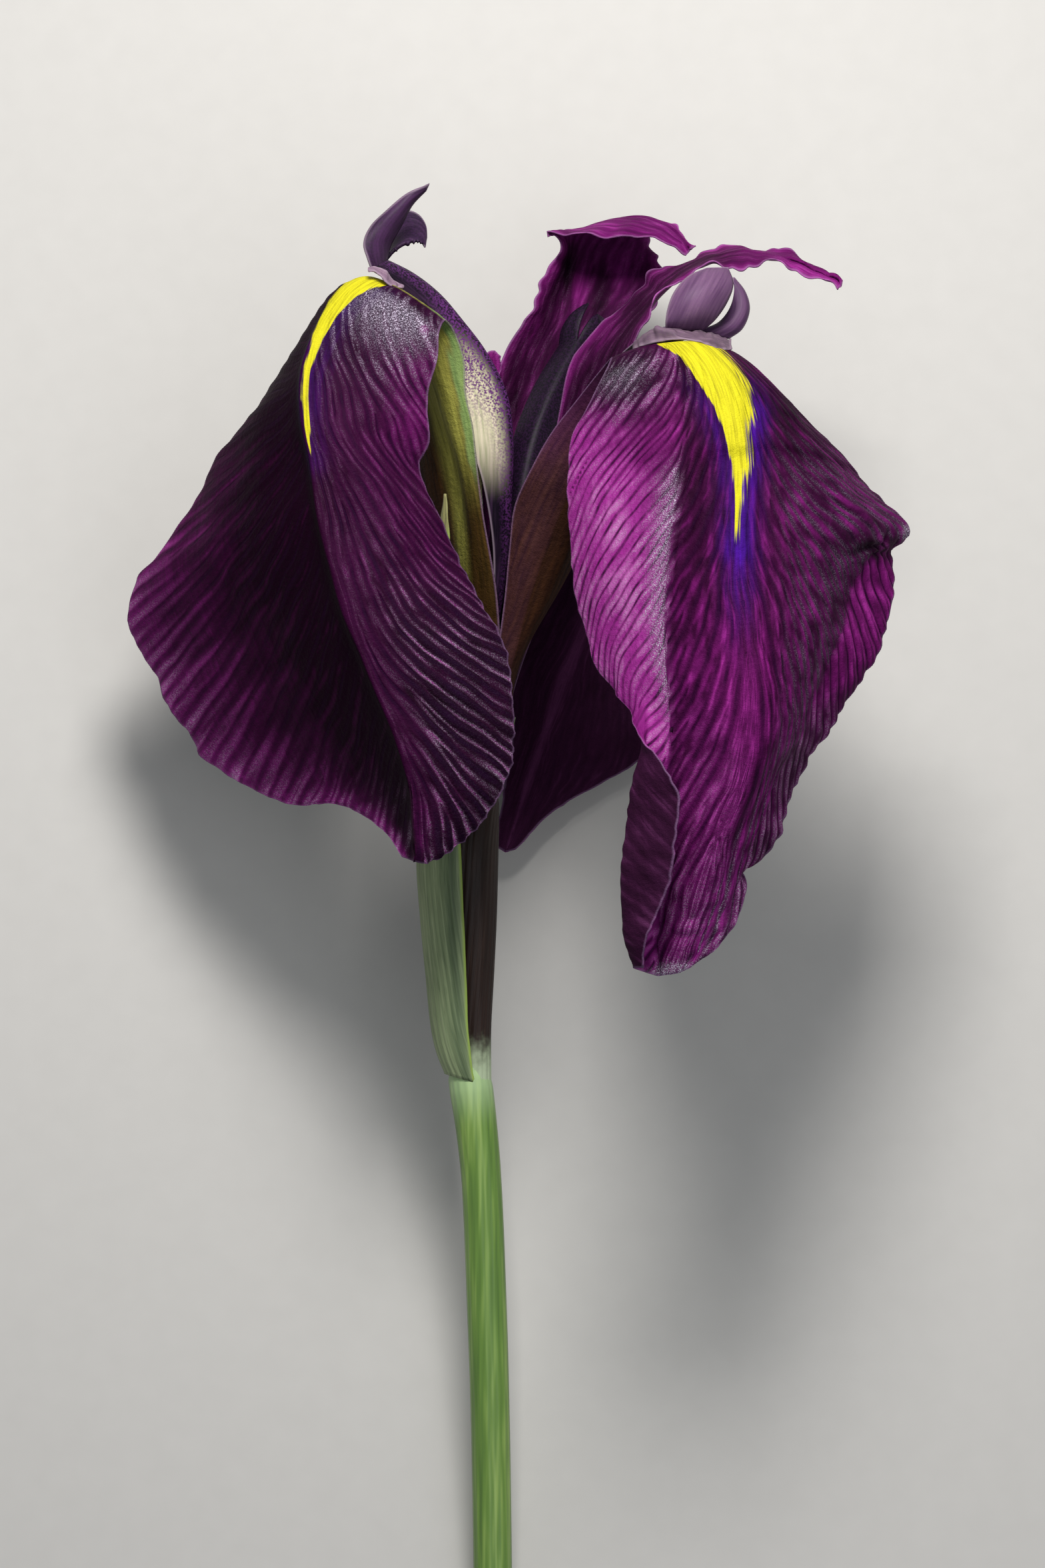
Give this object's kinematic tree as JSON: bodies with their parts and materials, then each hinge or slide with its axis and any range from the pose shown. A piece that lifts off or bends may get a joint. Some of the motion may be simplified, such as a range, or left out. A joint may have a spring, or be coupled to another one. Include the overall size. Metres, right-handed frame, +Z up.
{
  "type": "iris flower",
  "caption": "Cut Japanese-type iris with a short stem, laid on its back: hanging falls with a yellow signal, small standards, crested styles and two bracts.",
  "frame": {"origin": "middle of the underside of the bounding box, on the surface that the flower lies on", "axes": "+Z up from the surface, towards the viewer who looks down on the bloom; +Y from the cut end of the stem towards the bloom; +X to the right of the bloom as it is seen from above"},
  "size_m": [0.109, 0.2079, 0.0761],
  "materials": {
    "petal": "velvety magenta purple petal with darker veins, a yellow signal and a violet halo",
    "style": "greyed mauve style arm, cream and green on its inner side",
    "bract_green": "grey green leafy bract with fine lengthwise lines",
    "bract_dark": "dark purple brown bract",
    "stem": "fresh green, smooth, with fine lengthwise lines",
    "anther": "cream anther with grains of pollen"
  },
  "bodies": {
    "root": {"stem": "stem", "ovary_tube": "stem", "spathe_outer": "bract_green", "spathe_inner": "bract_dark", "fall_left": "petal", "fall_right": "petal", "fall_back": "petal", "standard_back": "petal", "standard_right": "petal", "standard_left": "petal", "style_left": "style", "style_right": "style", "style_back": "style", "stamen_left": "anther", "stamen_right": "anther", "stamen_back": "anther"}
  },
  "joints": []
}
